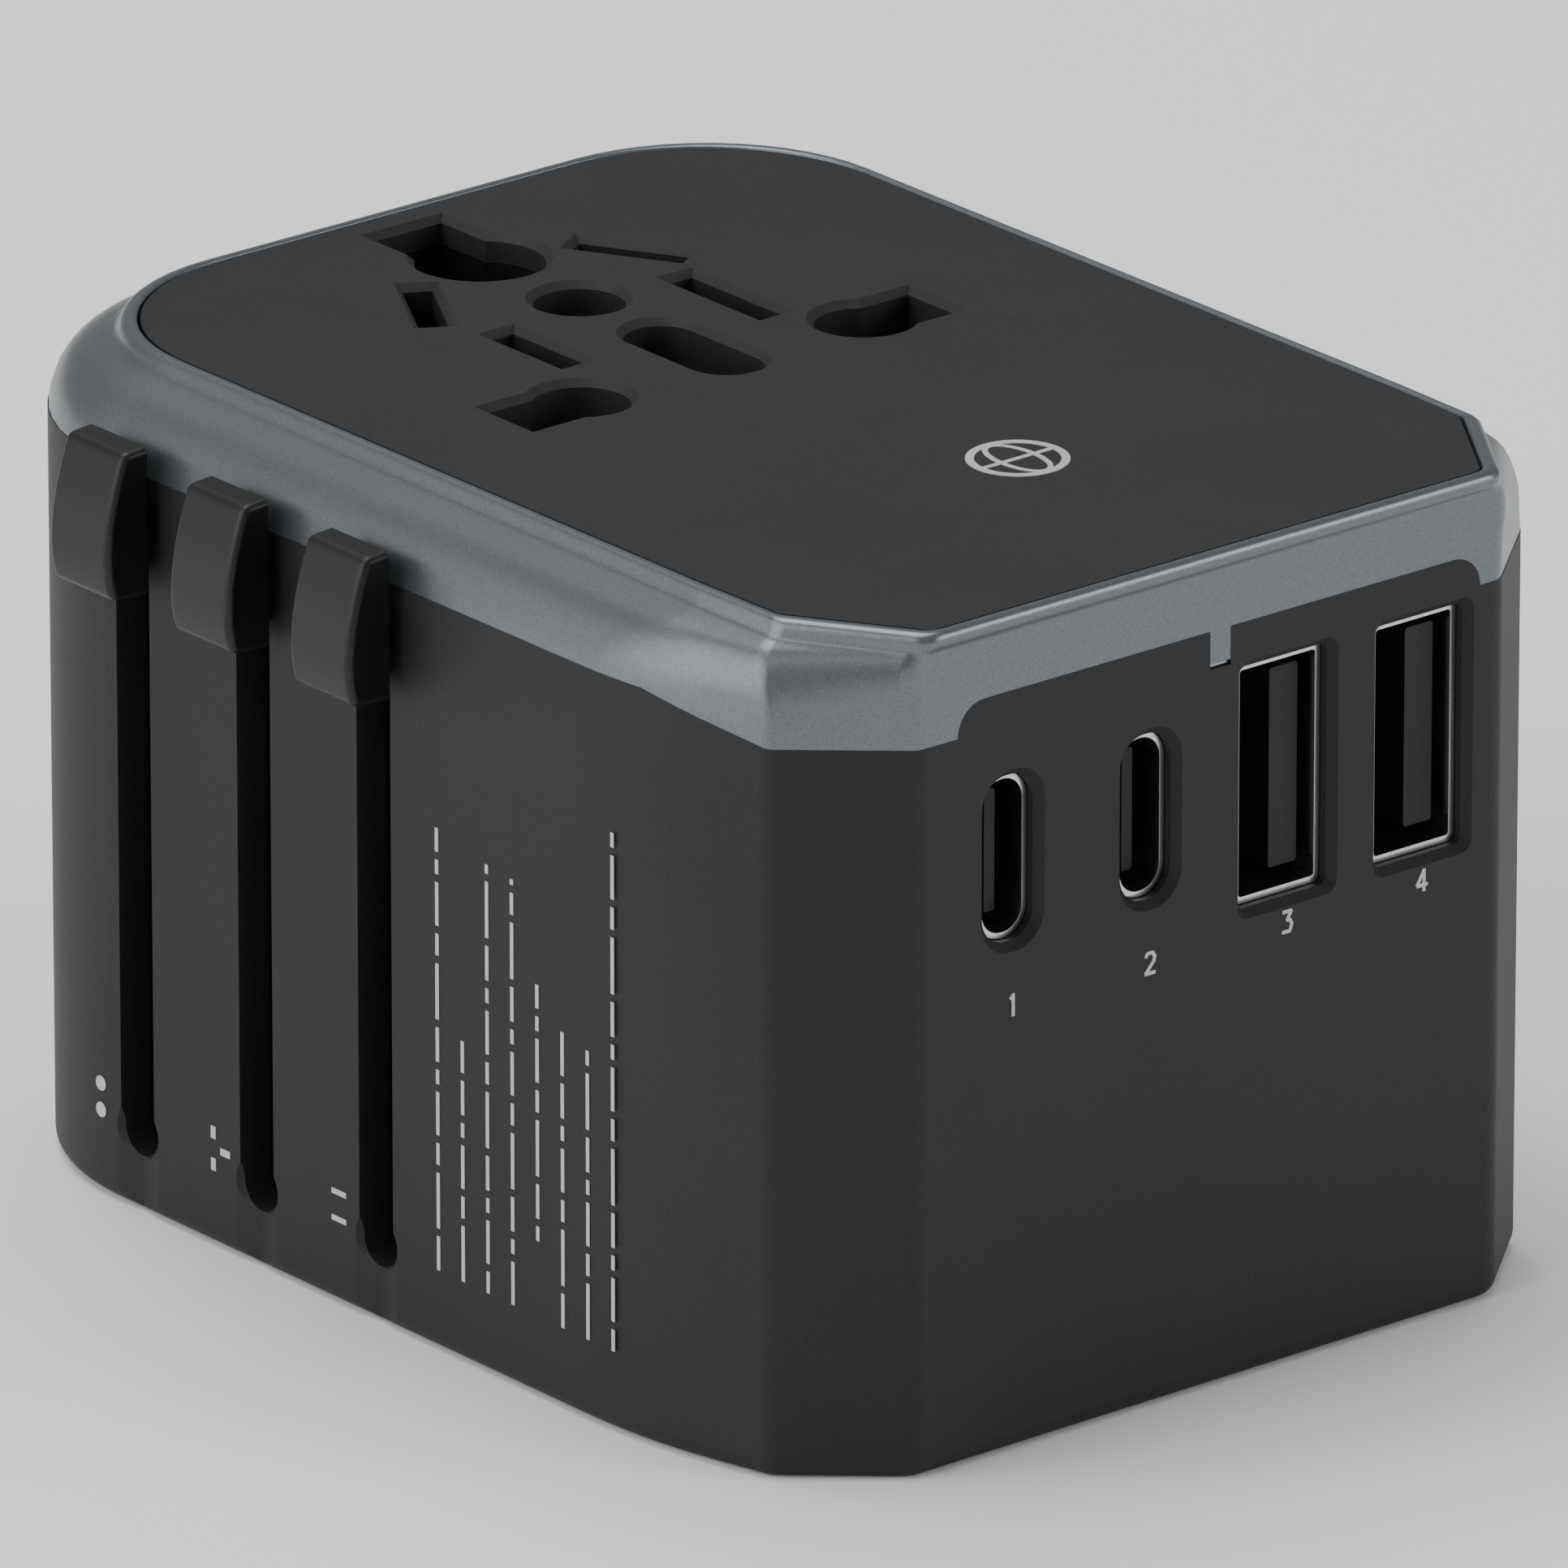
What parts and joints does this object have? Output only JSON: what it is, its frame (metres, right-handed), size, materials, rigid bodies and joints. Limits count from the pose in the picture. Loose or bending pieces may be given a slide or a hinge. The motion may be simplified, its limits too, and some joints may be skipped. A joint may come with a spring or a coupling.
{
  "type": "universal travel adapter",
  "caption": "Box-shaped travel adapter with a universal socket on top, USB ports on one end and side sliders that push folding plug pins out of the base.",
  "frame": {"origin": "centre of the flat plug face on the plane of the base", "axes": "+Z from the plug face to the socket face, -Y towards the USB ports, -X towards the slider knobs"},
  "size_m": [0.0587, 0.0713, 0.0464],
  "materials": {
    "housing_plastic": "fine texture",
    "frame_metal": "satin metallic",
    "panel_plastic": "fine texture",
    "inner_plastic": "matte",
    "shutter_plastic": "matte",
    "contact_brass": "plain",
    "spring_steel": "plain",
    "carrier_plastic": "matte",
    "knob_plastic": "matte",
    "pin_metal": "nickel plate",
    "port_steel": "satin",
    "port_plastic": "matte",
    "board_laminate": "green laminate",
    "ferrite": "matte",
    "winding_tape": "yellow tape",
    "capacitor_sleeve": "sleeve",
    "lens": "translucent",
    "fuse_ceramic": "ceramic tube",
    "screw_steel": "plain"
  },
  "bodies": {
    "case": {"lower_housing": "housing_plastic", "plug_plate": "inner_plastic", "top_frame": "frame_metal", "socket_panel": "panel_plastic", "socket_block": "inner_plastic", "line_contact": "contact_brass", "neutral_contact": "contact_brass", "earth_contact": "contact_brass", "shutter_springs": "spring_steel", "case_screws": "screw_steel", "led_window": "lens", "usb_a1_shell": "port_steel", "usb_a1_tongue": "port_plastic", "usb_a2_shell": "port_steel", "usb_a2_tongue": "port_plastic", "usb_c1_shell": "port_steel", "usb_c1_tongue": "port_plastic", "usb_c2_shell": "port_steel", "usb_c2_tongue": "port_plastic", "usb_board": "board_laminate", "transformer_core": "ferrite", "transformer_winding": "winding_tape", "main_capacitor": "capacitor_sleeve", "output_capacitors": "capacitor_sleeve", "control_chips": "ferrite", "fuse_barrel": "fuse_ceramic", "fuse_ends": "pin_metal", "fuse_holder": "inner_plastic"},
    "eu_slider": {"eu_carrier": "carrier_plastic", "eu_knob": "knob_plastic", "eu_pins": "pin_metal"},
    "uk_slider": {"uk_carrier": "carrier_plastic", "uk_knob": "knob_plastic", "uk_live_pins": "pin_metal", "uk_earth_pin": "pin_metal"},
    "us_slider": {"us_carrier": "carrier_plastic", "us_knob": "knob_plastic"},
    "left_blade": {"us_blade_left": "pin_metal"},
    "right_blade": {"us_blade_right": "pin_metal"},
    "shutter": {"safety_shutter": "shutter_plastic"},
    "fuse_door": {"fuse_cap": "inner_plastic"}
  },
  "joints": [
    {"name": "eu_slide", "type": "slide", "parent": "case", "child": "eu_slider", "axis": [0, 0, -1], "range_m": [0, 0.023]},
    {"name": "uk_slide", "type": "slide", "parent": "case", "child": "uk_slider", "axis": [0, 0, -1], "range_m": [0, 0.023]},
    {"name": "us_slide", "type": "slide", "parent": "case", "child": "us_slider", "axis": [0, 0, -1], "range_m": [0, 0.023]},
    {"name": "left_blade_twist", "type": "hinge", "parent": "us_slider", "child": "left_blade", "pos_m": [-0.00635, 0.0054, 0.02], "axis": [0, 0, 1], "range_deg": [-30, 0]},
    {"name": "right_blade_twist", "type": "hinge", "parent": "us_slider", "child": "right_blade", "pos_m": [0.00635, 0.0054, 0.02], "axis": [0, 0, 1], "range_deg": [0, 30]},
    {"name": "shutter_slide", "type": "slide", "parent": "case", "child": "shutter", "axis": [0, 1, 0], "range_m": [0, 0.004], "stiffness_N_per_m": 60},
    {"name": "fuse_door_turn", "type": "hinge", "parent": "case", "child": "fuse_door", "pos_m": [0.0185, -0.015, 0], "axis": [0, 0, 1], "range_deg": [0, 90]}
  ]
}
